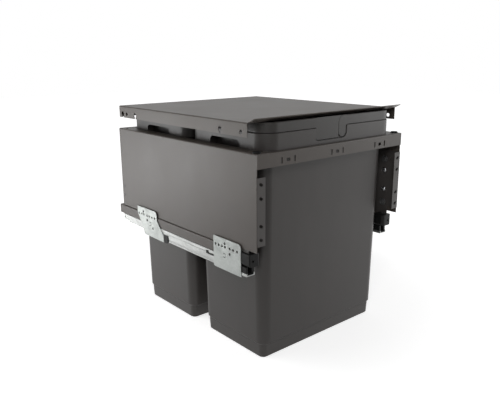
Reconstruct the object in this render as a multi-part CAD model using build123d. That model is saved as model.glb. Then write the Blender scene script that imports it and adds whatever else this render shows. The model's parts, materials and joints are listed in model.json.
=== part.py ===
from build123d import *
import os
import math

# Frame of reference: X across the cabinet, front towards -Y, Z up, origin under the middle
# of the unit on the surface that the bins stand on. Lengths are in millimetres.

# Driving sizes of the whole unit
unit_width = 414.0          # outer faces of the mounting plates, the cabinet's clear width
unit_depth = 500.0          # front face of the crossbar to the rear end of the carrier rails
runner_bottom = 183.0       # underside of the cabinet profiles
panel_high = 183.6          # side panels over the carrier rails
lid_rise = 52.2             # flat top of the lid over the frame
overrun = 2.0               # how far a cut runs past a face
seam = 1.0                  # visible joint between moulded pieces

# Sheet thicknesses and outer bend radii
plate_sheet = 1.5
panel_sheet = 1.2
panel_bend = 2.2
front_sheet = 1.5
front_bend = 2.4
lid_sheet = 1.2
lid_bend = 2.4
rail_sheet = 1.5
rail_bend = 2.5

# Clearances
plate_gap = 0.5             # moving rail to fixed plate
rail_step = 1.4             # panel face set back from the rail face
profile_gap = 0.7           # carrier rail over cabinet profile
ball_play = 0.3             # race radius over ball radius
cage_play = 0.1             # cage hole radius over ball radius
lid_gap = 0.9               # lid over the bail handles
side_play = 0.3             # plug beside the rail's walls, pin in its hole
flange_play = 1.0           # crossbar beside the panel's flange and bend
body_play = 2.1             # bin body beside the panel's flange
bin_gap = 3.0               # between the collars of the two bins

# Side panel
rail_tail = 15.0            # carrier rail past the panel's rear end
panel_front_rise = 7.1      # front end of the panel's lower edge over the rail
panel_front_step = 66.0
top_flange = 27.5
bottom_flange = 11.0
top_slot_long = 12.0
top_slot_wide = 5.0
top_slot_inset = 9.6
front_top_slot = 40.0
rear_top_slot_inset = 21.0
fixing_inset = 9.0
fixing_d = 5.0
fixing_pitch = 21.4
fixing_head_d = 7.0
fixing_head_h = 0.4
bumper_d = 15.0
bumper_h = 2.8
bumper_round = 1.8
bumper_inset = 12.0

# Crossbars
crossbar_high = 26.0
crossbar_flange = 19.0
crossbar_tab = 28.0
lower_crossbar_high = 44.0
lower_crossbar_rise = 36.9  # its middle over the rail
slot_high = 11.5
slot_wide = 4.0
slot_pitch = 16.0
middle_hole_wide = 9.0
middle_hole_high = 6.0
hole_drop = 3.5
group_pitch = 130.0

# Door brackets
bracket_rise = 18.6         # its lower edge over the rail
bracket_drop = 41.0         # its top under the frame's top
bracket_wide = 18.5
bracket_edge = 0.6
bracket_leg = 56.5
bracket_tab_start = 25.0
bracket_tab_gap = 2.6       # lower end of the leg over the rail
door_hole_inset = 9.0
door_hole_end = 12.0        # first hole from the bracket's end
door_hole_steps = 4         # even steps from the first to the last, the middle place left free
door_hole_long = 9.0
door_hole_wide = 5.5
door_hole_tilt = 30.0
bracket_slot_at = 22.7
bracket_slot_high = 9.0
bracket_slot_wide = 2.5
screw_line = 36.5
disc_d = 15.0
disc_h = 3.0
cross_screw_d = 11.0
cross_screw_h = 2.6
cross_screw_at_share = (0.30, 0.64)
disc_at_share = (0.06, 0.84)

# Runner, seen as a section across the drawer
ball_d = 5.0
ball_offset = 5.9           # ball centre from the middle of the runner
middle_half = 4.2
middle_wall = 2.0
cabinet_half = 9.9
cabinet_wall = 2.3
runner_high = 44.4          # underside of the cabinet profile to the top of the carrier rail
rail_high = 20.2
cabinet_floor = 1.5
upper_ball_drop = 11.4
lower_ball_rise = 11.5
middle_bottom_gap = 2.5
middle_top_gap = 2.5
cage_sheet = 1.0
cage_bridge = 0.8
cage_half_high = 4.4
bead_high = 1.4
bead_deep = 0.6
bead_share = 0.70
slope_top = 6.5             # lower edge band of the cabinet profile's outer face
slope_foot = 4.0
band_high = 2.4

# Runner, seen along the drawer: distances behind the crossbar's front face
rail_start = 45.0
cabinet_start = 66.0
tongue_start = 28.0
tongue_high = 5.5
tail_long = 93.0
tail_high = 12.5
tail_inset = 17.0           # rear end of the cabinet profile's tail before the rail's end
tail_hole_d = 6.0
tail_hole_inset = 7.0
middle_start = 68.0
middle_inset = 30.0
lower_cage_inset = 38.0     # rear end of the cage before the cabinet profile's end
upper_cage_inset = 10.0
lower_cage_long = 168.0
upper_cage_long = 196.0
balls_in_row = 3
ball_end_inset = 9.0

# Front guide of the cabinet profile
guide_start = 30.0
guide_high = 12.0
guide_half = 4.9
guide_floor = 2.0

# Front coupling under the panel
coupling_start = 18.0
coupling_head_end = 40.0
coupling_high = 24.4
coupling_wide = 26.5
coupling_gap = 0.5          # its outer face to the cabinet's side
coupling_corner = 5.0
coupling_nose = 7.0
coupling_edge = 2.0
coupling_hole_d = 4.6
coupling_hole_deep = 12.0
coupling_hole_inset = 8.5
coupling_hole_rise = 11.0
plug_long = 21.5

# Mounting plates
plate_high = 62.0
plate_drop = 4.0            # lower edge under the cabinet profile
front_plate_start = 42.0
front_plate_long = 82.0
rear_plate_long = 107.0
rear_plate_inset = 87.0     # its rear end before the rail's end
plate_corner = 8.0
plate_small_corner = 4.0
hole_row_drop = 16.0
plate_hole_d = 5.6
front_row_at_share = (0.13, 0.27, 0.40, 0.565, 0.68, 0.80, 0.92)
front_double_share = 0.575
rear_row_at_share = (0.32, 0.425, 0.535, 0.62, 0.75, 0.83, 0.94)
rear_double_share = 0.765
double_rise = 6.6
extra_drop = 10.6
front_extra_share = 0.40
rear_extra_share = 0.62
rear_low_hole_share = 0.40
rear_low_hole_rise = 21.0
lance_slot = 1.2
lance_wide = 8.0
lance_high = 8.5
front_lance_share = 0.60
rear_lance_share = 0.50
lance_rise = 29.0
rear_plate_neck_share = 0.24
rear_plate_neck_rise = 42.0
rear_plate_foot_share = 0.75
rear_plate_step_share = 0.81
rear_plate_step_rise = 17.0
rear_plate_heel_rise = 46.0
rear_plate_lobe_rise = 15.0

# Black plastic stops on the cabinet profiles
rear_stop_long = 15.0
rear_stop_gap = 2.0
rear_stop_high = 18.0
front_stop_start = 144.0
front_stop_long = 6.0
front_stop_high = 6.0
front_stop_drop = 3.5       # its top under the cabinet profile's top
latch_long = 18.0
latch_high = 2.5
stop_thick = 1.2
stop_corner = 5.0

# Lid
lid_start = 22.5
lid_inset = 28.0            # its rear edge before the rail's end
lid_flange_high = 25.5
lip_reach = 16.2
lip_rise = 7.5
lip_bend = 6.0
lip_end_cut = 3.8
lid_small_hole_d = 8.0
lid_hole_z_drop = 17.5
lid_small_hole_inset = 16.5
lid_rear_small_inset = 33.0
keyhole_d = 10.0
keyhole_slot = 5.5
keyhole_front_inset = 75.5
keyhole_rear_inset = 69.5
rear_hook_inset = 15.0
rear_hook_d = 11.5

# Bins
collar_front_inset = 6.5
collar_rear_inset = 15.5
collar_rest = 2.5           # collar over the edge of the panel's flange
collar_step = 14.5          # collar past the body at the front and rear
collar_corner = 30.0
collar_round = 1.5
body_corner = 25.0
body_low_corner = 20.0
body_draft_wide = 7.5
body_draft_deep = 5.5
foot_step_wide = 3.5
foot_step_deep = 5.0
foot_step_high = 4.0
foot_draft = 1.0
foot_corner = 12.0
foot_high = 27.0
foot_edge = 1.5
bin_wall = 2.0
bin_floor = 2.5
collar_ledge = 2.5
rim_wall = 2.4
grip_long = 89.0
grip_rise = 14.0            # its top over the frame's top
grip_high = 27.0
grip_deep = 17.0
grip_corner = 9.0

# Bail handles
bail_thick = 2.4
bail_high = 19.1
bail_set_in = 1.2
bail_play = 0.6
bail_round = 1.6
arm_drop = 22.0             # arms under the shelf that carries the handles
narrow_arm_edge = 10.5
narrow_arm_wide = 21.5
narrow_arm_round = 10.7
narrow_arm_shoulder = 13.5
arm_flare = 3.0
wide_arm_edge = 53.5
wide_arm_corner = 5.5
bail_pin_d = 6.0

# Worked out from the sizes above, across the unit
front_y = -unit_depth / 2
half_width = unit_width / 2
plate_inner = half_width - plate_sheet
rail_face = plate_inner - plate_gap
panel_face = rail_face - rail_step
panel_inner = panel_face - panel_sheet
bracket_inner = panel_inner - front_sheet
runner_mid = plate_inner - cabinet_half
rail_half = rail_face - runner_mid
race_r = ball_d / 2 + ball_play
collar_half_wide = panel_face - top_flange + collar_rest
body_top_half_wide = panel_face - top_flange - body_play
body_foot_half_wide = body_top_half_wide - body_draft_wide
foot_half_wide = body_foot_half_wide - foot_step_wide
foot_bottom_half_wide = foot_half_wide - foot_draft

# Worked out along the unit
panel_depth = unit_depth - rail_tail
rear_top_slot = panel_depth - rear_top_slot_inset
middle_end = unit_depth - middle_inset
cabinet_tail_end = unit_depth - tail_inset
cabinet_end = cabinet_tail_end - tail_long
front_plate_end = front_plate_start + front_plate_long
lower_cage_start = cabinet_end - lower_cage_inset - lower_cage_long
upper_cage_start = cabinet_end - upper_cage_inset - upper_cage_long
rear_plate_end = unit_depth - rear_plate_inset
rear_plate_start = rear_plate_end - rear_plate_long
rear_stop_start = rear_plate_start - rear_stop_gap - rear_stop_long
lid_end = unit_depth - lid_inset
keyhole_front_at = lid_start + keyhole_front_inset
keyhole_rear_at = lid_end - keyhole_rear_inset
rear_hook_at = lid_end - rear_hook_inset
collar_half_deep = (panel_depth - collar_front_inset - collar_rear_inset - bin_gap) / 4
front_bin_mid = collar_front_inset + collar_half_deep
bin_pitch = 2 * collar_half_deep + bin_gap
body_top_half_deep = collar_half_deep - collar_step
body_foot_half_deep = body_top_half_deep - body_draft_deep
foot_half_deep = body_foot_half_deep - foot_step_deep
foot_bottom_half_deep = foot_half_deep - foot_draft

# Worked out in height
cabinet_bottom = runner_bottom
rail_top = cabinet_bottom + runner_high
frame_top = rail_top + panel_high
rail_bottom = rail_top - rail_high
panel_bottom = rail_top
panel_front_bottom = rail_top + panel_front_rise
cabinet_top = rail_bottom - profile_gap
upper_ball_z = rail_top - upper_ball_drop
lower_ball_z = cabinet_bottom + lower_ball_rise
middle_bottom = cabinet_bottom + cabinet_floor + middle_bottom_gap
middle_top = rail_top - rail_sheet - middle_top_gap
tongue_top = cabinet_bottom + tongue_high
tail_bottom = cabinet_top - tail_high
coupling_top = rail_top
coupling_bottom = coupling_top - coupling_high
plate_bottom = cabinet_bottom - plate_drop
plate_top = plate_bottom + plate_high
hole_row_z = plate_top - hole_row_drop
lower_crossbar_mid = rail_top + lower_crossbar_rise
upper_fixing = lower_crossbar_mid + fixing_pitch / 2
lower_fixing = lower_crossbar_mid - fixing_pitch / 2
bracket_bottom = rail_top + bracket_rise
bracket_top = frame_top - bracket_drop
bracket_high = bracket_top - bracket_bottom
door_hole_pitch = (bracket_high - 2 * door_hole_end) / door_hole_steps
lid_top = frame_top + lid_rise
bail_top = lid_top - lid_sheet - lid_gap
bail_seat = bail_top - bail_high
bail_foot = bail_seat - arm_drop
bail_pin_z = bail_foot + narrow_arm_wide / 2
bail_recess = bail_set_in + bail_thick + bail_play
body_top = frame_top
grip_top = frame_top + grip_rise
grip_bottom = grip_top - grip_high


def back(distance):
    """Y of a plane this far behind the crossbar's front face."""
    return front_y + distance


def block(x0, x1, d0, d1, z0, z1):
    """Box between two X, two distances behind the front face, and two heights."""
    size = Box(x1 - x0, d1 - d0, z1 - z0)
    return Pos((x0 + x1) / 2, back((d0 + d1) / 2), (z0 + z1) / 2) * size


def side_profile(outline, x0, x1):
    """Sheet from x0 to x1 with an outline drawn in (distance, height)."""
    plane = Plane(origin=(x0, front_y, 0), x_dir=(0, 1, 0), z_dir=(1, 0, 0))
    return extrude(plane * outline, amount=x1 - x0)


def front_profile(outline, d0, d1):
    """Piece from distance d0 to d1 with an outline drawn in (X, height)."""
    plane = Plane(origin=(0, back(d0), 0), x_dir=(1, 0, 0), z_dir=(0, -1, 0))
    return extrude(plane * outline, amount=-(d1 - d0))


def across_hole(x, distance, z, diameter, length):
    """Cylinder along X."""
    return Pos(x, back(distance), z) * Rot(0, 90, 0) * Cylinder(diameter / 2, length)


def along_hole(x, distance, z, diameter, length):
    """Cylinder along Y."""
    return Pos(x, back(distance), z) * Rot(90, 0, 0) * Cylinder(diameter / 2, length)


def at_share(start, end, share):
    return start + (end - start) * share


# Side panel of the frame, right-hand one
def side_panel():
    """Folded sheet with a flange along its top and a narrow one along its foot."""
    high = frame_top - panel_bottom
    outer = Pos(panel_face - top_flange / 2, panel_bottom + high / 2) * Rectangle(top_flange, high)
    outer = fillet(outer.vertices().group_by(Axis.X)[-1], panel_bend)
    inner = Pos(panel_inner - top_flange / 2, panel_bottom + high / 2) * Rectangle(top_flange, high - 2 * panel_sheet)
    inner = fillet(inner.vertices().group_by(Axis.X)[-1], panel_bend - panel_sheet)
    foot_cut = Pos(panel_face - bottom_flange - top_flange / 2, panel_bottom) * Rectangle(top_flange, high / 2)
    panel = front_profile(outer - inner - foot_cut, front_sheet, panel_depth)
    inside = panel_face - top_flange - overrun
    panel -= block(inside, panel_face + overrun, 0, panel_front_step, panel_bottom - overrun, panel_front_bottom)
    panel -= block(inside, panel_inner, panel_depth - front_sheet, panel_depth + overrun,
                   frame_top - panel_bend - overrun, frame_top + overrun)
    for distance in (front_top_slot, rear_top_slot):
        slot = SlotOverall(top_slot_long, top_slot_wide, rotation=90)
        cutter = extrude(slot, amount=panel_sheet + 2 * overrun)
        panel -= Pos(panel_face - top_slot_inset, back(distance), frame_top - panel_sheet - overrun) * cutter
    for z in (upper_fixing, lower_fixing):
        panel -= across_hole(panel_face, panel_depth - fixing_inset, z, fixing_d, 4 * panel_sheet)
    return panel


def panel_fixings():
    """Rivets that hold the rear lower crossbar's tabs to the panel."""
    rivets = []
    inner_end = panel_inner - front_sheet
    for z in (upper_fixing, lower_fixing):
        shank_mid = (inner_end + panel_face) / 2
        shank = across_hole(shank_mid, panel_depth - fixing_inset, z, fixing_d, panel_face - inner_end)
        head = across_hole(panel_face + fixing_head_h / 2, panel_depth - fixing_inset, z,
                           fixing_head_d, fixing_head_h)
        rivets.append(shank + head)
    return Compound(rivets)


def top_bumper():
    """Low black button on the front corner of the frame's top flange."""
    place = Pos(panel_face - top_slot_inset, back(bumper_inset), frame_top + bumper_h / 2)
    button = place * Cylinder(bumper_d / 2, bumper_h)
    return fillet(button.edges().group_by(Axis.Z)[-1], bumper_round)


# Crossbars between the panels
def crossbar(face_half, holes):
    """Folded front bar: face plate, a flange along its top, and tabs inside the panels."""
    bottom = frame_top - crossbar_high
    fold = Pos(crossbar_flange / 2, bottom + crossbar_high / 2) * Rectangle(crossbar_flange, crossbar_high)
    fold = fillet(fold.vertices().group_by(Axis.Y)[-1].sort_by(Axis.X)[0], front_bend)
    room = Pos(front_sheet + crossbar_flange / 2, bottom + crossbar_high / 2 - front_sheet) * \
        Rectangle(crossbar_flange, crossbar_high)
    room = fillet(room.vertices().group_by(Axis.Y)[-1].sort_by(Axis.X)[0], front_bend - front_sheet)
    flange_end = panel_face - top_flange - flange_play
    bar = side_profile(fold - room, -flange_end, flange_end)
    tab_inner = panel_inner - front_sheet
    tab_top = frame_top - panel_sheet - flange_play
    for side in (-1, 1):
        ends = sorted((side * flange_end, side * face_half))
        bar += block(ends[0], ends[1], 0, front_sheet, bottom, frame_top)
        ends = sorted((side * tab_inner, side * panel_inner))
        bar += block(ends[0], ends[1], 0, crossbar_tab, bottom, tab_top)
    if holes:
        row_z = (bottom + frame_top) / 2 - hole_drop
        for group in (-1, 0, 1):
            x = group * group_pitch
            outline = Pos(x, row_z) * RectangleRounded(middle_hole_wide, middle_hole_high, slot_wide / 3)
            for side in (-1, 1):
                slot = RectangleRounded(slot_wide, slot_high, slot_wide / 3)
                outline += Pos(x + side * slot_pitch, row_z) * slot
            bar -= front_profile(outline, -overrun, front_sheet + overrun)
    return bar


def rear_crossbar():
    """Plain bar like the front one, turned to face the rear."""
    middle = Plane(origin=(0, back(panel_depth / 2), 0), x_dir=(1, 0, 0), z_dir=(0, 1, 0))
    return crossbar(panel_inner, False).mirror(middle)


def rear_lower_crossbar():
    """Flat bar low at the rear, riveted to the panels."""
    top = lower_crossbar_mid + lower_crossbar_high / 2
    bottom = top - lower_crossbar_high
    tab_inner = panel_inner - front_sheet
    bar = block(-panel_inner, panel_inner, panel_depth - front_sheet, panel_depth, bottom, top)
    for x0, x1 in ((tab_inner, panel_inner), (-panel_inner, -tab_inner)):
        bar += block(x0, x1, panel_depth - crossbar_tab, panel_depth - front_sheet, bottom, top)
    for side in (-1, 1):
        for z in (upper_fixing, lower_fixing):
            bar -= across_hole(side * (tab_inner + front_sheet / 2), panel_depth - fixing_inset, z,
                               fixing_d, 4 * front_sheet)
    return bar


# Door bracket, right-hand one
def door_hole_heights():
    """Even places up the bracket, with the middle one left out."""
    places = [bracket_bottom + door_hole_end + step * door_hole_pitch for step in range(door_hole_steps + 1)]
    return places[:door_hole_steps // 2] + places[door_hole_steps // 2 + 1:]


def bracket_screw_heights(shares):
    return [bracket_bottom + bracket_high * share for share in shares]


def door_bracket():
    outer = panel_face - bracket_edge
    leg_end = front_sheet + bracket_leg
    bracket = block(outer - bracket_wide, outer, 0, front_sheet, bracket_bottom, bracket_top)
    bracket += block(bracket_inner, panel_inner, front_sheet, leg_end, bracket_bottom, bracket_top)
    bracket += block(bracket_inner, panel_inner, bracket_tab_start, leg_end, rail_top + bracket_tab_gap,
                     bracket_bottom + front_sheet)
    outline = Sketch()
    for z in door_hole_heights():
        slot = SlotOverall(door_hole_long, door_hole_wide, rotation=door_hole_tilt)
        outline += Pos(panel_face - door_hole_inset, z) * slot
    bracket -= front_profile(outline, -overrun, front_sheet + overrun)
    slot_z = bracket_screw_heights(disc_at_share)[1]
    slot = Pos(bracket_slot_at, slot_z) * SlotOverall(bracket_slot_high, bracket_slot_wide, rotation=90)
    bracket -= side_profile(slot, bracket_inner - overrun, panel_inner + overrun)
    return bracket


def bracket_discs():
    """Round adjusting discs on the inside of the bracket's leg."""
    discs = []
    for z in bracket_screw_heights(disc_at_share):
        disc = across_hole(bracket_inner - disc_h / 2, screw_line, z, disc_d, disc_h)
        discs.append(chamfer(disc.edges().filter_by(GeomType.CIRCLE).sort_by(Axis.X)[0], disc_h / 3))
    return Compound(discs)


def bracket_screws():
    """Cross-head screws that clamp the bracket to the panel."""
    screws = []
    for z in bracket_screw_heights(cross_screw_at_share):
        head = across_hole(bracket_inner - cross_screw_h / 2, screw_line, z, cross_screw_d, cross_screw_h)
        screws.append(chamfer(head.edges().filter_by(GeomType.CIRCLE).sort_by(Axis.X)[0], cross_screw_h / 3))
    return Compound(screws)


# Runner members, right-hand ones, drawn as sections in (X, height)
def section_box(u0, u1, z0, z1):
    """Rectangle from u0 to u1 across the runner's middle line."""
    return Pos(runner_mid + (u0 + u1) / 2, (z0 + z1) / 2) * Rectangle(u1 - u0, z1 - z0)


def races(z):
    """Round ball races on both sides of the runner at height z."""
    pair = Sketch()
    for side in (-1, 1):
        pair += Pos(runner_mid + side * ball_offset, z) * Circle(race_r)
    return pair


def carrier_rail():
    """Channel, open below, that the side panel stands on: the drawer's member."""
    inner = rail_half - rail_sheet
    outline = section_box(-rail_half, rail_half, rail_bottom, rail_top)
    outline = fillet(outline.vertices().group_by(Axis.Y)[-1], rail_bend)
    room = section_box(-inner, inner, rail_bottom - overrun, rail_top - rail_sheet)
    outline -= fillet(room.vertices().group_by(Axis.Y)[-1], rail_bend - rail_sheet)
    outline -= races(upper_ball_z)
    return front_profile(outline, rail_start, unit_depth)


def middle_profile():
    """Box section between the two rows of balls above and below."""
    inner = middle_half - middle_wall
    outline = section_box(-middle_half, middle_half, middle_bottom, middle_top)
    outline -= section_box(-inner, inner, middle_bottom + middle_wall, middle_top - middle_wall)
    outline -= races(upper_ball_z) + races(lower_ball_z)
    return front_profile(outline, middle_start, middle_end)


def cabinet_profile():
    """Channel, open above, that the mounting plates carry: the cabinet's member."""
    inner = cabinet_half - cabinet_wall
    floor_top = cabinet_bottom + cabinet_floor
    outline = section_box(-cabinet_half, cabinet_half, cabinet_bottom, cabinet_top)
    outline -= section_box(-inner, inner, floor_top, cabinet_top + overrun)
    outline -= races(lower_ball_z)
    outline -= outer_grooves()
    profile = front_profile(outline, cabinet_start, cabinet_end)
    tongue = section_box(-cabinet_half, cabinet_half, cabinet_bottom, tongue_top)
    tongue -= section_box(-inner, inner, floor_top, tongue_top + overrun)
    profile += front_profile(tongue, tongue_start, cabinet_start)
    tail = Pos((cabinet_end + cabinet_tail_end) / 2, tail_bottom + tail_high / 2) * \
        RectangleRounded(cabinet_tail_end - cabinet_end + tail_high, tail_high, tail_high / 3)
    tail &= Pos((cabinet_end + cabinet_tail_end) / 2, tail_bottom + tail_high / 2) * \
        Rectangle(cabinet_tail_end - cabinet_end, 2 * tail_high)
    tail_outer = runner_mid + cabinet_half
    tail_mid = cabinet_tail_end - tail_hole_inset
    profile += side_profile(tail, tail_outer - (cabinet_wall - bead_deep), tail_outer)
    profile -= across_hole(tail_outer, tail_mid, tail_bottom + tail_high / 2, tail_hole_d, 4 * cabinet_wall)
    return profile


def outer_grooves():
    """Rolled groove and lower step of the cabinet profile's outer face."""
    bead_z = at_share(cabinet_bottom, cabinet_top, bead_share)
    groove = section_box(cabinet_half - bead_deep, cabinet_half + overrun, bead_z, bead_z + bead_high)
    face = runner_mid + cabinet_half
    slope = Polygon((face, cabinet_bottom + slope_top),
                    (face - bead_deep, cabinet_bottom + slope_foot),
                    (face - bead_deep, cabinet_bottom + band_high),
                    (face + overrun, cabinet_bottom + band_high),
                    (face + overrun, cabinet_bottom + slope_top),
                    align=None)
    return groove + slope


def front_guide():
    """Plastic guide in the front end of the cabinet profile, with a channel for the middle one."""
    inner = cabinet_half - cabinet_wall
    floor_top = cabinet_bottom + cabinet_floor
    top = tongue_top + guide_high
    outline = section_box(-cabinet_half, cabinet_half, tongue_top, top)
    outline += section_box(-inner, inner, floor_top, tongue_top)
    outline -= section_box(-guide_half, guide_half, floor_top + guide_floor, top + overrun)
    return front_profile(outline, guide_start, cabinet_start)


def ball_places(start, end):
    first = start + ball_end_inset
    pitch = (end - start - 2 * ball_end_inset) / (balls_in_row - 1)
    return [first + pitch * index for index in range(balls_in_row)]


def balls(start, end, z):
    spheres = []
    for distance in ball_places(start, end):
        for side in (-1, 1):
            place = Pos(runner_mid + side * ball_offset, back(distance), z)
            spheres.append(place * Rot(0, 90, 0) * Sphere(ball_d / 2))
    return spheres


def ball_cage(start, end, z, bridge_bottom):
    """Folded strip with its two sides beside the middle profile and a bridge at bridge_bottom."""
    outer = ball_offset + cage_sheet / 2
    inner = outer - cage_sheet
    low = min(z - cage_half_high, bridge_bottom)
    high = max(z + cage_half_high, bridge_bottom + cage_bridge)
    outline = section_box(-outer, outer, low, high)
    if bridge_bottom < z:
        outline -= section_box(-inner, inner, low + cage_bridge, high + overrun)
    else:
        outline -= section_box(-inner, inner, low - overrun, high - cage_bridge)
    cage = front_profile(outline, start, end)
    for distance in ball_places(start, end):
        cage -= across_hole(runner_mid, distance, z, ball_d + 2 * cage_play, 4 * outer)
    return cage


# Front coupling, right-hand one
def front_coupling():
    """Plastic block ahead of the carrier rail, with a plug inside the rail's front end."""
    outer = half_width - coupling_gap
    inner = outer - coupling_wide
    plan = Polygon((outer, back(coupling_start)),
                   (outer, back(coupling_head_end)),
                   (rail_face, back(coupling_head_end)),
                   (rail_face, back(rail_start)),
                   (inner, back(rail_start)),
                   (inner, back(coupling_start)),
                   align=None)
    front_corners = plan.vertices().group_by(Axis.Y)[0].sort_by(Axis.X)
    plan = fillet(front_corners[0], coupling_nose)
    front_corners = plan.vertices().group_by(Axis.Y)[0].sort_by(Axis.X)
    plan = fillet(front_corners[-1], coupling_edge)
    block_form = extrude(Pos(0, 0, coupling_bottom) * plan, amount=coupling_high)
    face = Pos((outer + inner) / 2, coupling_bottom + coupling_high / 2) * Rectangle(coupling_wide, coupling_high)
    face = fillet(face.vertices().group_by(Axis.Y)[0], coupling_corner)
    body = block_form & front_profile(face, coupling_start, rail_start)
    plug_half = rail_half - rail_sheet - side_play
    plug_top = rail_top - rail_sheet - 2 * side_play
    plug = section_box(-plug_half, plug_half, upper_ball_z + race_r, plug_top)
    body += front_profile(plug, rail_start, rail_start + plug_long)
    body -= along_hole(outer - coupling_hole_inset, coupling_start, coupling_bottom + coupling_hole_rise,
                       coupling_hole_d, 2 * coupling_hole_deep)
    return body


# Mounting plates, right-hand ones
def plate_holes(start, end, row_share, double_share, extra_share, lance_share):
    """Row of holes, the raised hole beside one of them, the low hole and the lanced tab."""
    cuts = Sketch()
    for share in row_share:
        cuts += Pos(at_share(start, end, share), hole_row_z) * Circle(plate_hole_d / 2)
    cuts += Pos(at_share(start, end, double_share), hole_row_z + double_rise) * Circle(plate_hole_d / 2)
    cuts += Pos(at_share(start, end, extra_share), hole_row_z - extra_drop) * Circle(plate_hole_d / 2)
    lance_mid = Pos(at_share(start, end, lance_share), plate_bottom + lance_rise)
    ring = Rectangle(lance_wide, lance_high)
    tab = Pos(lance_slot) * Rectangle(lance_wide, lance_high - 2 * lance_slot)
    cuts += lance_mid * (ring - tab)
    return cuts


def front_mounting_plate():
    wide = front_plate_end - front_plate_start
    high = plate_top - plate_bottom
    outline = Pos(front_plate_start + wide / 2, plate_bottom + high / 2) * Rectangle(wide, high)
    corners = outline.vertices()
    top_front = corners.group_by(Axis.Y)[-1].sort_by(Axis.X)[0]
    outline = fillet(top_front, plate_corner)
    low_rear = outline.vertices().group_by(Axis.Y)[0].sort_by(Axis.X)[-1]
    outline = fillet(low_rear, plate_small_corner)
    outline -= plate_holes(front_plate_start, front_plate_end, front_row_at_share, front_double_share,
                           front_extra_share, front_lance_share)
    return side_profile(outline, plate_inner, half_width)


def rear_mounting_plate():
    start = rear_plate_start
    end = rear_plate_end
    neck = at_share(start, end, rear_plate_neck_share)
    foot = at_share(start, end, rear_plate_foot_share)
    step = at_share(start, end, rear_plate_step_share)
    outline = Polygon((start, plate_bottom),
                      (foot, plate_bottom),
                      (step, plate_bottom + rear_plate_step_rise),
                      (end, plate_bottom + rear_plate_heel_rise),
                      (end, plate_top),
                      (neck, plate_top),
                      (neck, plate_bottom + rear_plate_neck_rise),
                      (start, plate_bottom + rear_plate_lobe_rise),
                      align=None)
    top_front = outline.vertices().group_by(Axis.Y)[-1].sort_by(Axis.X)[0]
    outline = fillet(top_front, plate_corner)
    low_rear = outline.vertices().group_by(Axis.Y)[0].sort_by(Axis.X)[-1]
    outline = fillet(low_rear, plate_small_corner)
    outline -= plate_holes(start, end, rear_row_at_share, rear_double_share,
                           rear_extra_share, rear_lance_share)
    low_hole = Pos(at_share(start, end, rear_low_hole_share), plate_bottom + rear_low_hole_rise)
    outline -= low_hole * Circle(plate_hole_d / 2)
    return side_profile(outline, plate_inner, half_width)


# Black plastic stops, right-hand ones
def rear_stop():
    """Rounded block on the outer wall of the cabinet profile, against the rear plate."""
    outline = Pos(rear_stop_start + rear_stop_long / 2, plate_bottom + rear_stop_high / 2) * \
        Rectangle(rear_stop_long, rear_stop_high)
    low = outline.vertices().group_by(Axis.Y)[0]
    outline = fillet(low, stop_corner)
    return side_profile(outline, plate_inner, plate_inner + stop_thick)


def front_stop():
    """Block with a thin latch ahead of it, on the outer wall of the cabinet profile."""
    top = cabinet_top - front_stop_drop
    low = top - front_stop_high
    outline = Pos(front_stop_start + front_stop_long / 2, top - front_stop_high / 2) * \
        Rectangle(front_stop_long, front_stop_high)
    outline += Pos(front_stop_start - latch_long / 2, low + latch_high / 2) * Rectangle(latch_long, latch_high)
    return side_profile(outline, plate_inner, plate_inner + stop_thick)


# Lid
def keyhole(distance, diameter):
    """Round hole with a slot down through the flange's lower edge."""
    hole_z = lid_top - lid_hole_z_drop
    slot_low = lid_top - lid_flange_high - overrun
    slot = Pos(distance, (hole_z + slot_low) / 2) * Rectangle(keyhole_slot, hole_z - slot_low)
    return Pos(distance, hole_z) * Circle(diameter / 2) + slot


def lid():
    """Folded cover with a flange at each side and a raised lip in front."""
    section = Pos(0, lid_top - lid_flange_high / 2) * Rectangle(unit_width, lid_flange_high)
    section = fillet(section.vertices().group_by(Axis.Y)[-1], lid_bend)
    room = Pos(0, lid_top - lid_sheet - lid_flange_high / 2) * Rectangle(unit_width - 2 * lid_sheet, lid_flange_high)
    room = fillet(room.vertices().group_by(Axis.Y)[-1], lid_bend - lid_sheet)
    cover = front_profile(section - room, lid_start, lid_end) + lid_lip()
    hole_z = lid_top - lid_hole_z_drop
    cuts = keyhole(keyhole_front_at, keyhole_d) + keyhole(keyhole_rear_at, keyhole_d)
    cuts += keyhole(rear_hook_at, rear_hook_d)
    for distance in (lid_start + lid_small_hole_inset, lid_end - lid_rear_small_inset):
        cuts += Pos(distance, hole_z) * Circle(lid_small_hole_d / 2)
    return cover - side_profile(cuts, -half_width - overrun, half_width + overrun)


def lid_lip():
    """Sheet that rises ahead of the lid's front fold, its ends drawn in."""
    tip = lid_start - lip_reach
    fold = lid_sheet / math.cos(math.atan2(lip_rise, lip_reach))
    outline = Polygon((lid_start + lip_bend, lid_top),
                      (lid_start, lid_top),
                      (tip, lid_top + lip_rise),
                      (tip, lid_top + lip_rise - fold),
                      (lid_start, lid_top - lid_sheet),
                      (lid_start + lip_bend, lid_top - lid_sheet),
                      align=None)
    bends = outline.vertices().group_by(Axis.X)[1].sort_by(Axis.Y)
    outline = fillet(bends[-1], lip_bend)
    low = min(outline.vertices(), key=lambda v: abs(v.X - lid_start) + abs(v.Y - lid_top + lid_sheet))
    outline = fillet(low, lip_bend + lid_sheet)
    wide = half_width - lid_bend
    lip = side_profile(outline, -wide, wide)
    for side in (-1, 1):
        corner = Polygon((side * wide, lid_start),
                         (side * (half_width - lip_end_cut), tip),
                         (side * (half_width + overrun), tip),
                         (side * (half_width + overrun), lid_start),
                         align=None)
        lip -= extrude(Pos(0, front_y, lid_top - lip_rise) * corner, amount=3 * lip_rise)
    return lip


# Bins
def rounded(half_wide, half_deep, corner, z):
    return Pos(0, 0, z) * RectangleRounded(2 * half_wide, 2 * half_deep, corner)


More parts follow.
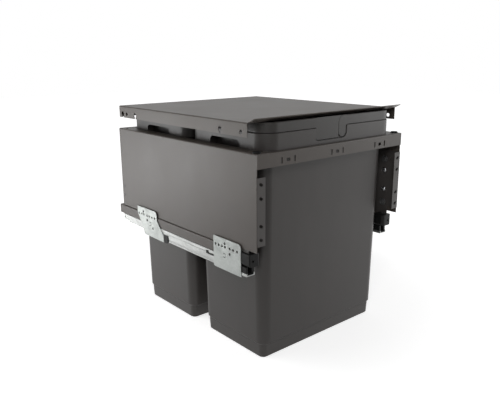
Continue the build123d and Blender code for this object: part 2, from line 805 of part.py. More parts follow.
def stacked(levels):
    """Solid through rounded rectangles given as (half width, half depth, corner, height)."""
    form = Part()
    for low, high in zip(levels[:-1], levels[1:]):
        form += loft([rounded(*low), rounded(*high)], ruled=True)
    return form


def body_levels(inset):
    """Tapered body from its lower end up to the collar, shrunk by an inset."""
    return [(body_foot_half_wide - inset, body_foot_half_deep - inset, body_low_corner - inset,
             foot_high + foot_step_high),
            (body_top_half_wide - inset, body_top_half_deep - inset, body_corner - inset, body_top)]


def foot_levels(inset, rise):
    """Foot that is set in from the body, its top at foot_high plus a rise."""
    return [(foot_bottom_half_wide - inset, foot_bottom_half_deep - inset, foot_corner - inset, rise),
            (foot_half_wide - inset, foot_half_deep - inset, foot_corner - inset, foot_high + rise)]


def lifted(level, rise):
    return (*level[:-1], level[-1] + rise)


def bin_shell():
    """One bin about its own middle line."""
    low = foot_levels(0, 0)
    bottom = (foot_bottom_half_wide - foot_edge, foot_bottom_half_deep - foot_edge, foot_corner - foot_edge, 0)
    shell = stacked([bottom, lifted(low[0], foot_edge), low[1], *body_levels(0)])
    collar = extrude(rounded(collar_half_wide, collar_half_deep, collar_corner, body_top),
                     amount=bail_seat - body_top)
    shell += fillet(collar.edges().group_by(Axis.Z)[-1], collar_round)
    rim = (collar_half_wide - bail_recess, collar_half_deep - bail_recess, collar_corner - bail_recess)
    shell += extrude(rounded(*rim, bail_seat), amount=bail_top - bail_seat)
    low = foot_levels(bin_wall, bin_floor)
    body = body_levels(bin_wall)
    cavity = stacked([*low, lifted(body[0], bin_floor), lifted(body[1], collar_ledge)])
    mouth = [size - rim_wall for size in rim]
    cavity += extrude(rounded(*mouth, body_top + collar_ledge), amount=bail_top - body_top)
    shell -= cavity
    for side in (-1, 1):
        shell += grip(side, bin_wall)
    for side in (-1, 1):
        shell -= grip(side, 0)
    front_recess = arm_recess()
    shell -= front_recess + front_recess.rotate(Axis.Z, 180)
    for hole in pin_places(bail_pin_d + side_play):
        shell -= hole
    return shell


def grip(side, wall):
    """Finger recess in the collar's side; with a wall it is the pocket's outer form."""
    depth = grip_deep + wall
    low = grip_bottom - wall
    high = grip_top + wall
    face = Pos(0, (low + high) / 2) * Rectangle(grip_long + 2 * wall, high - low)
    face = fillet(face.vertices().group_by(Axis.Y)[-1], grip_corner + wall)
    outer = collar_half_wide + (overrun if wall == 0 else -bin_wall)
    plane = Plane(origin=(collar_half_wide - depth, 0, 0), x_dir=(0, 1, 0), z_dir=(1, 0, 0))
    pocket = extrude(plane * face, amount=outer - (collar_half_wide - depth))
    if wall:
        upper = rounded(collar_half_wide - bin_wall, body_top_half_deep, body_corner, body_top)
        pocket &= stacked(body_levels(bin_wall / 2)) + extrude(upper, amount=bail_top - body_top)
    if side < 0:
        pocket = pocket.mirror(Plane.YZ)
    return pocket


def flare(right, top):
    """Small round where an arm's right side meets the level edge of its bail."""
    square = Pos(right + arm_flare / 2, top - arm_flare / 2) * Rectangle(arm_flare, arm_flare)
    return square - Pos(right + arm_flare, top - arm_flare) * Circle(arm_flare)


def narrow_arm_outline(margin):
    """Arm of a bail on its narrow side, in (X, height), grown by a margin."""
    left = narrow_arm_edge - margin
    right = narrow_arm_edge + narrow_arm_wide + margin
    low = bail_foot - margin
    arm = Pos((left + right) / 2, (low + bail_top + margin) / 2) * \
        Rectangle(right - left, bail_top + margin - low)
    arm = fillet(arm.vertices().group_by(Axis.Y)[0], narrow_arm_round + margin)
    top_left = arm.vertices().group_by(Axis.Y)[-1].sort_by(Axis.X)[0]
    return fillet(top_left, narrow_arm_shoulder + margin)


def wide_arm_outline():
    """Arm of the other bail beside it, shaped round the narrow arm."""
    right = narrow_arm_edge + narrow_arm_shoulder
    middle = (bail_foot + bail_top) / 2
    high = bail_top - bail_foot
    arm = Pos((right - wide_arm_edge) / 2, middle) * Rectangle(right + wide_arm_edge, high)
    low_left = arm.vertices().group_by(Axis.Y)[0].sort_by(Axis.X)[0]
    arm = fillet(low_left, wide_arm_corner)
    keep_left = Pos((narrow_arm_edge - seam - wide_arm_edge) / 2, middle) * \
        Rectangle(narrow_arm_edge - seam + wide_arm_edge, high)
    corner_wide = narrow_arm_shoulder + seam
    corner_zone = Pos(right - corner_wide / 2, bail_top - narrow_arm_shoulder / 2) * \
        Rectangle(corner_wide, narrow_arm_shoulder)
    return arm & (keep_left + corner_zone - narrow_arm_outline(seam))


def arm_slab(outline, near, far):
    """Slab of an arm outline at the front of a bin, between two depths behind its face."""
    plane = Plane(origin=(0, near - collar_half_deep, 0), x_dir=(1, 0, 0), z_dir=(0, -1, 0))
    return extrude(plane * outline, amount=-(far - near))


def arm_recess():
    """Room in the collar's front for both arms."""
    left = -wide_arm_edge - seam
    right = narrow_arm_edge + narrow_arm_wide + seam
    low = bail_foot - seam
    room = Pos((left + right) / 2, (low + bail_seat) / 2) * Rectangle(right - left, bail_seat + overrun - low)
    corners = room.vertices().group_by(Axis.Y)[0].sort_by(Axis.X)
    room = fillet(corners[0], wide_arm_corner + seam)
    corners = room.vertices().group_by(Axis.Y)[0].sort_by(Axis.X)
    room = fillet(corners[-1], narrow_arm_round + seam)
    return arm_slab(room + flare(right, bail_seat), -overrun, bail_recess)


def pin_places(diameter):
    """Pivot pins of both bails, at the front and the rear of a bin."""
    pins = []
    pivot_x = narrow_arm_edge + narrow_arm_wide / 2
    length = bail_play + rim_wall
    start = collar_half_deep - bail_set_in - bail_thick
    for end in (-1, 1):
        for side in (-1, 1):
            y = end * (start - length / 2)
            pins.append(Pos(side * pivot_x, y, bail_pin_z) * Rot(90, 0, 0) * Cylinder(diameter / 2, length))
    return pins


def right_bail():
    """Bail over the right half of a bin: narrow arm in front, wide arm behind."""
    low = bail_seat + seam
    outer_set = bail_set_in
    inner_set = bail_set_in + bail_thick
    outer = extrude(rounded(collar_half_wide - outer_set, collar_half_deep - outer_set,
                            collar_corner - outer_set, low), amount=bail_top - low)
    outer = fillet(outer.edges().group_by(Axis.Z)[-1], bail_round)
    inner = extrude(rounded(collar_half_wide - inner_set, collar_half_deep - inner_set,
                            collar_corner - inner_set, low), amount=bail_top - low)
    reach = collar_half_wide + overrun
    pivot_x = narrow_arm_edge + narrow_arm_wide / 2
    zone = Pos((pivot_x + reach) / 2, 0, bail_top) * Box(reach - pivot_x, 2 * reach, 2 * (bail_top - bail_seat))
    bail = (outer - inner) & zone
    arms = arm_slab(narrow_arm_outline(0) + flare(narrow_arm_edge + narrow_arm_wide, low), outer_set, inner_set)
    arms += arm_slab(wide_arm_outline(), outer_set, inner_set).rotate(Axis.Z, 180)
    bail += arms
    pins = pin_places(bail_pin_d)
    return bail + pins[1] + pins[3]


def place_bin(piece, middle):
    return Pos(0, back(middle), 0) * piece


# All nodes
def mirrored(piece):
    return piece.mirror(Plane.YZ)


def both_sides(name, piece):
    return {"right_" + name: piece, "left_" + name: mirrored(piece)}


def build_nodes():
    nodes = {"lid": lid()}
    nodes["front_crossbar"] = crossbar(panel_face, True)
    nodes["rear_crossbar"] = rear_crossbar()
    nodes["rear_lower_crossbar"] = rear_lower_crossbar()
    nodes |= both_sides("side_panel", side_panel())
    nodes |= both_sides("panel_fixings", panel_fixings())
    nodes |= both_sides("top_bumper", top_bumper())
    nodes |= both_sides("door_bracket", door_bracket())
    nodes |= both_sides("bracket_discs", bracket_discs())
    nodes |= both_sides("bracket_screws", bracket_screws())
    nodes |= both_sides("carrier_rail", carrier_rail())
    nodes |= both_sides("middle_profile", middle_profile())
    nodes |= both_sides("cabinet_profile", cabinet_profile())
    nodes |= both_sides("front_guide", front_guide())
    lower_bridge = (cabinet_bottom + cabinet_floor + middle_bottom - cage_bridge) / 2
    upper_bridge = (middle_top + rail_top - rail_sheet - cage_bridge) / 2
    lower = (lower_cage_start, lower_cage_start + lower_cage_long, lower_ball_z)
    upper = (upper_cage_start, upper_cage_start + upper_cage_long, upper_ball_z)
    nodes |= both_sides("lower_ball_cage", ball_cage(*lower, lower_bridge))
    nodes |= both_sides("upper_ball_cage", ball_cage(*upper, upper_bridge))
    nodes |= both_sides("lower_balls", Compound(balls(*lower)))
    nodes |= both_sides("upper_balls", Compound(balls(*upper)))
    nodes |= both_sides("front_coupling", front_coupling())
    nodes |= both_sides("front_mounting_plate", front_mounting_plate())
    nodes |= both_sides("rear_mounting_plate", rear_mounting_plate())
    nodes |= both_sides("rear_stop", rear_stop())
    nodes |= both_sides("front_stop", front_stop())
    shell = bin_shell()
    bail = right_bail()
    for name, middle in (("front_bin", front_bin_mid), ("rear_bin", front_bin_mid + bin_pitch)):
        nodes[name] = place_bin(shell, middle)
        nodes[name + "_right_bail"] = place_bin(bail, middle)
        nodes[name + "_left_bail"] = place_bin(bail.rotate(Axis.Z, 180), middle)
    return nodes


os.makedirs("parts", exist_ok=True)
for node_name, solid in build_nodes().items():
    export_step(solid, f"parts/{node_name}.step")
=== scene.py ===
import json
import math

import bpy
from mathutils import Matrix, Vector


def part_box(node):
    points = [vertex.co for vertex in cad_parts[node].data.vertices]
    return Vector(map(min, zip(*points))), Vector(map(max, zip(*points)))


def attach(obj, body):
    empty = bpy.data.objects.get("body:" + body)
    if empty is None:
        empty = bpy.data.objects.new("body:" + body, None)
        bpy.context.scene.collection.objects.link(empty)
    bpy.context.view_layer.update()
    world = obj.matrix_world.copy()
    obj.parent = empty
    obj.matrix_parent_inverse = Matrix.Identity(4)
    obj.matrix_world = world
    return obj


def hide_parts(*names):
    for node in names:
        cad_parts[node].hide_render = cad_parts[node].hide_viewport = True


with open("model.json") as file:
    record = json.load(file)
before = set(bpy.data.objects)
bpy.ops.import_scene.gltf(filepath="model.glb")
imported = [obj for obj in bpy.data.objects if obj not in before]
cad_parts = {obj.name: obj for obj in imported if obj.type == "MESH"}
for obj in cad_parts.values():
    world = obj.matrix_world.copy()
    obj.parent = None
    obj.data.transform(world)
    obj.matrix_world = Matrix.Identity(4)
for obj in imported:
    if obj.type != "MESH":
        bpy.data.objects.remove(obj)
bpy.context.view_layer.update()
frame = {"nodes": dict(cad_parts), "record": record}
nodes = frame["nodes"]
bpy.ops.object.select_all(action="DESELECT")

# Sizes and places of the object are in millimetres, those of the studio in metres
MM = 0.001
SIDES = {"right": 1, "left": -1}
SMOOTH_BELOW = math.radians(35)

# Faces and edges are picked by the least part of their normal and by the most that a place may differ
FACING = 0.9
NEAR = 0.01
RIM_NEAR = 0.05

# Fixings on the inside of the door brackets' legs, where the CAD has them
LEG_INSIDE = 200.9
FIXING_LINE = -213.5
SCREW_HEIGHTS = (283.2, 325.36)
DISC_HEIGHTS = (253.44, 350.16)
ROUND_SIDES = 64

# Cross-head screw
SCREW_FLANGE_WIDE = 11.0
SCREW_FLANGE_THICK = 0.5
SCREW_DOME_WIDE = 9.4
SCREW_HIGH = 2.6
SCREW_DOME_ROUND = 2.0
SCREW_FLANGE_ROUND = 0.2
RECESS_TURNS = (45, 135)
RECESS_ARM = (5.0, 1.1, 2.4)
RECESS_FLOOR_SHARE = (0.35, 0.6, 1)

# Adjusting disc
DISC_WIDE = 15.0
DISC_THICK = 2.6
DISC_RIM_WIDE = 1.3
DISC_RING_DEEP = 1.1
DISC_RING_WIDE = 2.0
DISC_BOSS_RISE = 1.5
DISC_BOSS_ROUND = 1.3
DISC_OUTER_ROUND = 0.8
DISC_INNER_ROUND = 0.4

# How much further down the bracket's leg reaches than the CAD's, and how near the points of its mesh merge
LEG_DROP = 2.2
MERGE_WITHIN = 0.01

# Lid's rear flange, inside the lid's side flanges and just above their lower edge
FLANGE_SHEET = 1.2
FLANGE_HIGH = 23.6
FLANGE_END_GAP = 1.7
FLANGE_FOOT_GAP = 0.6
FLANGE_EDGE_ROUND = 0.25

# Studio, with the direction away from the camera, and light as a share of white
FAR_SIDE = (0.76, 0.65, 0.0)
WHITE = (1, 1, 1)
BLACK = (0, 0, 0)
WALL_DIMMEST = 0.04
WALL_RISE = 0.64
CEILING_LOSS = 0.85
MIRRORED_GAIN = 1.45
FLOOR_NEAR_GLOW = 0.65
FLOOR_MIRRORED_NEAR = 0.2
FLOOR_SIZE = 14
FLOOR_DROP = 0.0005

# Camera, with its angles in degrees and its lens and sensor in millimetres
CAMERA_PLACE = (-0.82117, -0.95955, 0.57634)
CAMERA_YAW_PITCH_ROLL = (40.283, -14.510, -0.290)
CAMERA_LENS = 40.84
CAMERA_SENSOR = 36

# Name, place, aim, width and height, watts
LAMPS = (
    ("soft box behind the camera", (-2.0, -2.0, 1.9), (0, 0, 0.25), (1.2, 1.2), 30),
    ("soft box left", (-0.9, 0.3, 1.6), (0, 0, 0.25), (0.9, 0.9), 6.5),
    ("low strip left rear", (-0.8, 0.8, 0.22), (-0.2, 0.1, 0.3), (0.45, 0.35), 2.5),
    ("soft box right", (1.2, -0.85, 0.62), (0.1, -0.1, 0.3), (0.7, 0.7), 4),
)


class Value:
    """A shader socket that can be used in sums and products."""

    def __init__(self, tree, socket):
        self.tree = tree
        self.socket = socket

    def maths(self, operation, first, second):
        return self.tree.node("ShaderNodeMath", {"operation": operation}, {0: first, 1: second})

    def __add__(self, other):
        return self.maths("ADD", self, other)

    def __radd__(self, other):
        return self.maths("ADD", other, self)

    def __sub__(self, other):
        return self.maths("SUBTRACT", self, other)

    def __rsub__(self, other):
        return self.maths("SUBTRACT", other, self)

    def __mul__(self, other):
        return self.maths("MULTIPLY", self, other)

    def __rmul__(self, other):
        return self.maths("MULTIPLY", other, self)

    def larger(self, other):
        return self.maths("MAXIMUM", self, other)

    def between(self, low, high):
        """0 below low and 1 above high, with a smooth step from one to the other."""
        return self.tree.node("ShaderNodeMapRange", {"interpolation_type": "SMOOTHSTEP"},
                              {"Value": self, "From Min": low, "From Max": high})


class Tree:
    """A node tree whose nodes are added by one method."""

    def __init__(self, node_tree):
        self.tree = node_tree

    def node(self, kind, settings=None, sockets=None, out=0):
        made = self.tree.nodes.new(kind)
        for key, value in (settings or {}).items():
            setattr(made, key, value)
        for key, value in (sockets or {}).items():
            self.feed(made.inputs[key], value)
        return Value(self, made.outputs[out])

    def feed(self, socket, value):
        if isinstance(value, Value):
            self.tree.links.new(value.socket, socket)
        elif isinstance(value, tuple) and len(value) == 3 and socket.type == "RGBA":
            socket.default_value = (*value, 1)
        else:
            socket.default_value = value

    def dot(self, first, second):
        return self.node("ShaderNodeVectorMath", {"operation": "DOT_PRODUCT"}, {0: first, 1: second}, out=1)

    def length(self, vector):
        return self.node("ShaderNodeVectorMath", {"operation": "LENGTH"}, {0: vector}, out=1)

    def part(self, vector, axis):
        """The X, Y or Z part of a vector."""
        return self.node("ShaderNodeSeparateXYZ", None, {"Vector": vector}, out=axis)

    def light_path(self, ray):
        """1 for a ray of the named kind, 0 for any other."""
        return self.node("ShaderNodeLightPath", out=ray)


class Finish(Tree):
    """A material with one Principled shader, built from nodes on the piece's own coordinates."""

    def __init__(self, name, **constants):
        self.material = bpy.data.materials.new(name)
        self.material.use_nodes = True
        super().__init__(self.material.node_tree)
        self.tree.nodes.clear()
        self.shader = self.tree.nodes.new("ShaderNodeBsdfPrincipled")
        out = self.tree.nodes.new("ShaderNodeOutputMaterial")
        self.tree.links.new(self.shader.outputs[0], out.inputs["Surface"])
        self.set(**constants)
        self.where = self.node("ShaderNodeTexCoord", out="Object")

    def set(self, **values):
        """Feeds the shader's sockets, whose names are written with _ for a space."""
        for key, value in values.items():
            self.feed(self.shader.inputs[key.replace("_", " ")], value)

    def noise(self, size, detail=2.0, roughness=0.5, stretch=(1, 1, 1)):
        """Noise whose blobs are about size millimetres across."""
        place = self.node("ShaderNodeMapping", {"vector_type": "POINT"},
                          {"Vector": self.where, "Scale": stretch})
        return self.node("ShaderNodeTexNoise", None,
                         {"Vector": place, "Scale": 1 / (size * MM),
                          "Detail": detail, "Roughness": roughness})

    def mix(self, share, first, second):
        return self.node("ShaderNodeMix", {"data_type": "RGBA"}, {0: share, 6: first, 7: second}, out=2)

    def bump(self, relief, strength, distance):
        normal = self.node("ShaderNodeBump", None,
                           {"Height": relief, "Strength": strength, "Distance": distance * MM})
        self.set(Normal=normal)


def shade(colour, factor):
    return tuple(c * factor for c in colour)


# Finishes
DRAWN_LENGTHWAYS = (1, 0.03, 1)
ROLLED_LENGTHWAYS = (1, 0.05, 1)


def powder_coat(name, colour, roughness=0.36):
    """Fine textured powder coat, a little mottled."""
    coat = Finish(name, Metallic=0.0, IOR=1.5)
    cloud = coat.noise(70, 2)
    speck = coat.noise(0.9, 3, 0.6)
    tint = coat.mix(cloud.between(0.35, 0.65), shade(colour, 0.94), shade(colour, 1.06))
    tint = coat.mix(speck.between(0.45, 0.75), tint, shade(colour, 1.18))
    coat.set(Base_Color=tint, Roughness=roughness + 0.08 * cloud + 0.06 * speck)
    coat.bump(speck * 0.6 + coat.noise(2.5, 2) * 0.4, 0.25, 0.08)
    return coat.material


def moulded(name, colour, roughness=0.36, grain=0.8, shine=0.5):
    """Moulded plastic with a fine spark-eroded grain and faint handling marks."""
    plastic = Finish(name, IOR=1.46, Specular_IOR_Level=shine)
    fine = plastic.noise(grain, 3, 0.65)
    flow = plastic.noise(55, 3, 0.5, (1, 1, 0.35))
    rub = plastic.noise(9, 4, 0.7, (1, 1, 0.15)).between(0.62, 0.78)
    tint = plastic.mix(flow.between(0.3, 0.7), shade(colour, 0.94), shade(colour, 1.06))
    tint = plastic.mix(rub * 0.25, tint, shade(colour, 1.3))
    plastic.set(Base_Color=tint, Roughness=roughness + 0.1 * flow - 0.08 * rub)
    plastic.bump(fine, 0.22, 0.08)
    return plastic.material


def zinc(name, colour, stretch=(1, 1, 1), roughness=0.34):
    """Zinc plated steel: soft spangle, drawn lines and a dull bloom."""
    steel = Finish(name, Metallic=1.0)
    spangle = steel.node("ShaderNodeTexVoronoi", {"feature": "F1"},
                         {"Vector": steel.where, "Scale": 1 / (4 * MM), "Randomness": 1.0})
    lines = steel.noise(0.7, 2, 0.5, stretch)
    bloom = steel.noise(22, 4, 0.6).between(0.4, 0.75)
    tint = steel.mix(spangle.between(0.1, 0.8), shade(colour, 0.96), shade(colour, 1.04))
    tint = steel.mix(bloom * 0.45, tint, shade(colour, 0.82))
    steel.set(Base_Color=tint, Roughness=roughness + 0.14 * bloom + 0.08 * lines)
    steel.bump(lines, 0.25, 0.05)
    return steel.material


def polished(name, colour):
    """Polished steel under a thin film of grease."""
    ball = Finish(name, Metallic=1.0)
    film = ball.noise(1.6, 3).between(0.4, 0.7)
    ball.set(Base_Color=ball.mix(film, colour, shade(colour, 0.85)), Roughness=0.1 + 0.16 * film)
    ball.bump(film, 0.1, 0.02)
    return ball.material


FINISHES = {
    "lid_paint": powder_coat("lid powder coat", (0.084, 0.072, 0.062)),
    "frame_paint": powder_coat("frame powder coat", (0.075, 0.064, 0.056)),
    "bracket_paint": powder_coat("bracket powder coat", (0.068, 0.062, 0.059)),
    "bin_plastic": moulded("bin plastic", (0.054, 0.049, 0.046)),
    "bail_plastic": moulded("bail plastic", (0.046, 0.043, 0.040)),
    "black_plastic": moulded("black plastic", (0.010, 0.010, 0.010), roughness=0.42, grain=0.6, shine=0.22),
    "disc_plastic": moulded("disc plastic", (0.085, 0.085, 0.085), roughness=0.24, grain=0.6),
    "plate_zinc": zinc("plate zinc", (0.43, 0.45, 0.435), roughness=0.44),
    "runner_zinc": zinc("runner zinc", (0.45, 0.46, 0.45), DRAWN_LENGTHWAYS),
    "cage_steel": zinc("cage strip", (0.5, 0.5, 0.5), ROLLED_LENGTHWAYS, roughness=0.38),
    "ball_steel": polished("ball steel", (0.75, 0.75, 0.76)),
    "dark_fixing": powder_coat("dark fixing", (0.02, 0.019, 0.019), roughness=0.25),
    "bright_screw": zinc("screw zinc", (0.75, 0.76, 0.78), roughness=0.2),
}

slot_of = {entry["node"]: entry["material_slot"] for entry in frame["record"]["subparts"]}
for name, node in nodes.items():
    node.data.materials.clear()
    node.data.materials.append(FINISHES[slot_of[name]])


# Modelling
def pick(piece):
    """Makes a piece the only one that operators act on."""
    bpy.ops.object.select_all(action="DESELECT")
    piece.select_set(True)
    bpy.context.view_layer.objects.active = piece


def copy_of(original):
    """A copy of a piece, with its own mesh."""
    copy = original.copy()
    copy.data = original.data.copy()
    bpy.context.scene.collection.objects.link(copy)
    return copy


def paint(piece, finish):
    piece.data.materials.clear()
    piece.data.materials.append(FINISHES[finish])


def object_mode():
    bpy.ops.object.mode_set(mode="OBJECT")


def edit_mode(kind):
    bpy.ops.object.mode_set(mode="EDIT")
    bpy.ops.mesh.select_mode(type=kind)


def select_nothing(mesh):
    for group in (mesh.vertices, mesh.edges, mesh.polygons):
        for item in group:
            item.select = False


def edit_faces(chosen):
    """Edit mode with only the faces selected whose middle and normal are chosen."""
    mesh = bpy.context.object.data
    select_nothing(mesh)
    for face in mesh.polygons:
        face.select = chosen(face.center / MM, face.normal)
    edit_mode("FACE")


def edit_edges(chosen):
    """Edit mode with only the edges selected whose two ends are chosen."""
    mesh = bpy.context.object.data
    select_nothing(mesh)
    for edge in mesh.edges:
        edge.select = all(chosen(mesh.vertices[end].co / MM) for end in edge.vertices)
    edit_mode("EDGE")


def on_top(height):
    return lambda middle, normal: normal.z > FACING and abs(middle.z - height) < NEAR


def facing_down(middle, normal):
    return normal.z < -FACING


def raise_face(height):
    bpy.ops.mesh.extrude_region_move(TRANSFORM_OT_translate={"value": (0, 0, height * MM)})


def round_rim(radius, height, offset, segments):
    """Rounds the ring of edges at a radius and height."""
    edit_edges(lambda end: abs(math.hypot(end.x, end.y) - radius) < RIM_NEAR and abs(end.z - height) < NEAR)
    bpy.ops.mesh.bevel(offset=offset * MM, segments=segments, profile=0.5)
    object_mode()


def flat_disc(name, wide, thick):
    """A round disc that stands on the origin."""
    bpy.ops.object.select_all(action="DESELECT")
    bpy.ops.mesh.primitive_cylinder_add(vertices=ROUND_SIDES, radius=wide / 2 * MM, depth=thick * MM,
                                        location=(0, 0, 0))
    disc = bpy.context.object
    disc.name = name
    disc.data.transform(Matrix.Translation((0, 0, thick / 2 * MM)))
    return disc


def block(size, middle=(0, 0, 0)):
    bpy.ops.object.select_all(action="DESELECT")
    bpy.ops.mesh.primitive_cube_add(size=1, location=(0, 0, 0))
    made = bpy.context.object
    made.data.transform(Matrix.Translation(Vector(middle) * MM) @ Matrix.Diagonal((*Vector(size) * MM, 1)))
    return made


# Fixings
def cross_head():
    """Washer head with a domed middle and a cross recess, standing on the origin."""
    head = flat_disc("cross_head", SCREW_FLANGE_WIDE, SCREW_FLANGE_THICK)
    edit_faces(on_top(SCREW_FLANGE_THICK))
    bpy.ops.mesh.inset(thickness=(SCREW_FLANGE_WIDE - SCREW_DOME_WIDE) / 2 * MM)
    raise_face(SCREW_HIGH - SCREW_FLANGE_THICK)
    object_mode()
    round_rim(SCREW_DOME_WIDE / 2, SCREW_HIGH, SCREW_DOME_ROUND, segments=9)
    round_rim(SCREW_FLANGE_WIDE / 2, SCREW_FLANGE_THICK, SCREW_FLANGE_ROUND, segments=2)
    for turn in RECESS_TURNS:
        cut_slot(head, math.radians(turn))
    return head


def cut_slot(head, turn):
    """One arm of the cross recess, narrower at its floor."""
    cutter = block(RECESS_ARM)
    edit_faces(facing_down)
    bpy.ops.transform.resize(value=RECESS_FLOOR_SHARE)
    object_mode()
    cutter.data.transform(Matrix.Translation((0, 0, SCREW_HIGH * MM)) @ Matrix.Rotation(turn, 4, "Z"))
    cut = head.modifiers.new("recess", "BOOLEAN")
    cut.operation = "DIFFERENCE"
    cut.object = cutter
    pick(head)
    bpy.ops.object.modifier_apply(modifier=cut.name)
    bpy.data.objects.remove(cutter)


def adjusting_disc():
    """Black adjusting disc with a raised rim, a sunk ring and a domed boss."""
    disc = flat_disc("adjusting_disc", DISC_WIDE, DISC_THICK)
    ring_outside = DISC_WIDE / 2 - DISC_RIM_WIDE
    boss_outside = ring_outside - DISC_RING_WIDE
    boss_top = DISC_THICK - DISC_RING_DEEP + DISC_BOSS_RISE
    edit_faces(on_top(DISC_THICK))
    bpy.ops.mesh.inset(thickness=DISC_RIM_WIDE * MM)
    raise_face(-DISC_RING_DEEP)
    bpy.ops.mesh.inset(thickness=DISC_RING_WIDE * MM)
    raise_face(DISC_BOSS_RISE)
    object_mode()
    round_rim(boss_outside, boss_top, DISC_BOSS_ROUND, segments=6)
    round_rim(DISC_WIDE / 2, DISC_THICK, DISC_OUTER_ROUND, segments=4)
    round_rim(ring_outside, DISC_THICK, DISC_INNER_ROUND, segments=3)
    return disc


def place_fixings(pattern, heights, node_end, finish):
    """A pair of copies of one fixing in the leg of each bracket, in place of the CAD's plain ones."""
    for side, sign in SIDES.items():
        inwards = Matrix.Rotation(math.radians(-90 * sign), 4, "Y")
        bpy.ops.object.select_all(action="DESELECT")
        for height in heights:
            copy = copy_of(pattern)
            place = Vector((sign * LEG_INSIDE, FIXING_LINE, height)) * MM
            copy.data.transform(Matrix.Translation(place) @ inwards)
            copy.select_set(True)
            bpy.context.view_layer.objects.active = copy
        bpy.ops.object.join()
        pair = bpy.context.object
        pair.name = side + "_" + pattern.name + "s"
        bpy.ops.object.shade_smooth_by_angle(angle=SMOOTH_BELOW)
        paint(pair, finish)
        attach(pair, "carriage")
        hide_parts(side + node_end)
    bpy.data.objects.remove(pattern)


# Folded sheets
def longer_bracket_leg(side):
    """The door bracket with its leg drawn down to just over the coupling."""
    bracket = copy_of(nodes[side + "_door_bracket"])
    bracket.name = side + "_bracket_long_leg"
    pick(bracket)
    bpy.ops.mesh.customdata_custom_splitnormals_clear()
    bpy.ops.object.mode_set(mode="EDIT")
    bpy.ops.mesh.select_all(action="SELECT")
    bpy.ops.mesh.remove_doubles(threshold=MERGE_WITHIN * MM)
    object_mode()
    lowest = min(vertex.co.z for vertex in bracket.data.vertices) / MM
    edit_faces(lambda middle, normal: abs(middle.z - lowest) < NEAR)
    bpy.ops.transform.translate(value=(0, 0, -LEG_DROP * MM))
    object_mode()
    bpy.ops.object.shade_flat()
    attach(bracket, "carriage")
    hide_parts(side + "_door_bracket")


def lid_rear_flange():
    """The lid's rear edge, folded down behind the bins like its side flanges."""
    low, high = (Vector(corner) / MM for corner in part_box("lid"))
    size = (high.x - low.x - 2 * FLANGE_END_GAP, FLANGE_SHEET, FLANGE_HIGH)
    middle = (0, high.y - FLANGE_SHEET / 2, low.z + FLANGE_FOOT_GAP + FLANGE_HIGH / 2)
    flange = block(size, middle)
    flange.name = "lid_rear_flange"
    edit_faces(facing_down)
    bpy.ops.mesh.bevel(offset=FLANGE_EDGE_ROUND * MM, segments=2)
    object_mode()
    bpy.ops.object.shade_smooth_by_angle(angle=SMOOTH_BELOW)
    paint(flange, "lid_paint")
    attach(flange, "lid")


# Studio
def lamp(name, place, aim, size, power):
    light = bpy.data.lights.new(name, "AREA")
    light.shape = "RECTANGLE"
    light.size, light.size_y = size
    light.energy = power
    holder = bpy.data.objects.new(name, light)
    bpy.context.scene.collection.objects.link(holder)
    holder.location = place
    holder.rotation_euler = (Vector(aim) - Vector(place)).to_track_quat("-Z", "Y").to_euler()
    holder.visible_camera = False


def room_light():
    """White to the camera, and a light that is bright on the far side and dim in front and above."""
    world = bpy.data.worlds.new("studio")
    bpy.context.scene.world = world
    world.use_nodes = True
    room = Tree(world.node_tree)
    back = world.node_tree.nodes["Background"]
    ray = room.node("ShaderNodeTexCoord", out="Generated")
    far_side = room.dot(ray, FAR_SIDE).between(-0.25, 0.62)
    ceiling = room.part(ray, 2).between(0.3, 0.65)
    wall = WALL_DIMMEST + WALL_RISE * far_side * (1 - CEILING_LOSS * ceiling)
    shown = room.light_path("Is Camera Ray")
    through = room.light_path("Is Transmission Ray")
    mirrored = room.light_path("Is Glossy Ray") * wall * MIRRORED_GAIN
    room.feed(back.inputs["Color"], WHITE)
    room.feed(back.inputs["Strength"], wall.larger(shown).larger(through).larger(mirrored))


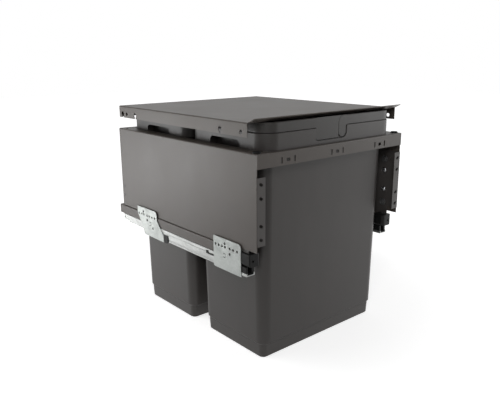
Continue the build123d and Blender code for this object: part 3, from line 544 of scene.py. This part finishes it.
def paper_floor():
    """White paper that glows for the camera, and keeps the object's shadow near it."""
    bpy.ops.mesh.primitive_plane_add(size=FLOOR_SIZE, location=(0, 0, -FLOOR_DROP))
    floor = bpy.context.object
    floor.name = "floor"
    floor.data.transform(floor.matrix_world)
    floor.matrix_world = Matrix.Identity(4)
    paper = Finish("white paper", Roughness=0.9, Emission_Strength=1.0)
    far_side = paper.dot(paper.where, FAR_SIDE).between(-0.7, 0.5)
    away = paper.length(paper.where).between(0.3, 1.0)
    shown_glow = FLOOR_NEAR_GLOW + (1 - FLOOR_NEAR_GLOW) * away
    mirrored_glow = FLOOR_MIRRORED_NEAR + (1 - FLOOR_MIRRORED_NEAR) * far_side
    shown = paper.light_path("Is Camera Ray") * shown_glow
    mirrored = paper.light_path("Is Glossy Ray") * mirrored_glow
    paper.set(Base_Color=paper.mix(paper.noise(3, 3), (0.80, 0.80, 0.80), (0.84, 0.84, 0.84)),
              Emission_Color=paper.mix(shown.larger(mirrored), BLACK, WHITE))
    floor.data.materials.append(paper.material)


def camera():
    yaw, pitch, roll = (math.radians(angle) for angle in CAMERA_YAW_PITCH_ROLL)
    ahead = Vector((math.sin(yaw) * math.cos(pitch), math.cos(yaw) * math.cos(pitch), math.sin(pitch)))
    right = ahead.cross(Vector((0, 0, 1))).normalized()
    up = right.cross(ahead)
    x_axis = math.cos(roll) * right + math.sin(roll) * up
    y_axis = math.cos(roll) * up - math.sin(roll) * right
    turned = Matrix((x_axis, y_axis, -ahead)).transposed()
    data = bpy.data.cameras.new("camera")
    data.sensor_width = CAMERA_SENSOR
    data.lens = CAMERA_LENS
    holder = bpy.data.objects.new("camera", data)
    bpy.context.scene.collection.objects.link(holder)
    holder.matrix_world = Matrix.Translation(CAMERA_PLACE) @ turned.to_4x4()
    bpy.context.scene.camera = holder


place_fixings(cross_head(), SCREW_HEIGHTS, "_bracket_screws", "bright_screw")
place_fixings(adjusting_disc(), DISC_HEIGHTS, "_bracket_discs", "disc_plastic")
for side in SIDES:
    longer_bracket_leg(side)
lid_rear_flange()

room_light()
paper_floor()
for row in LAMPS:
    lamp(*row)
camera()
bpy.context.scene.view_settings.view_transform = "Standard"

bpy.context.view_layer.update()
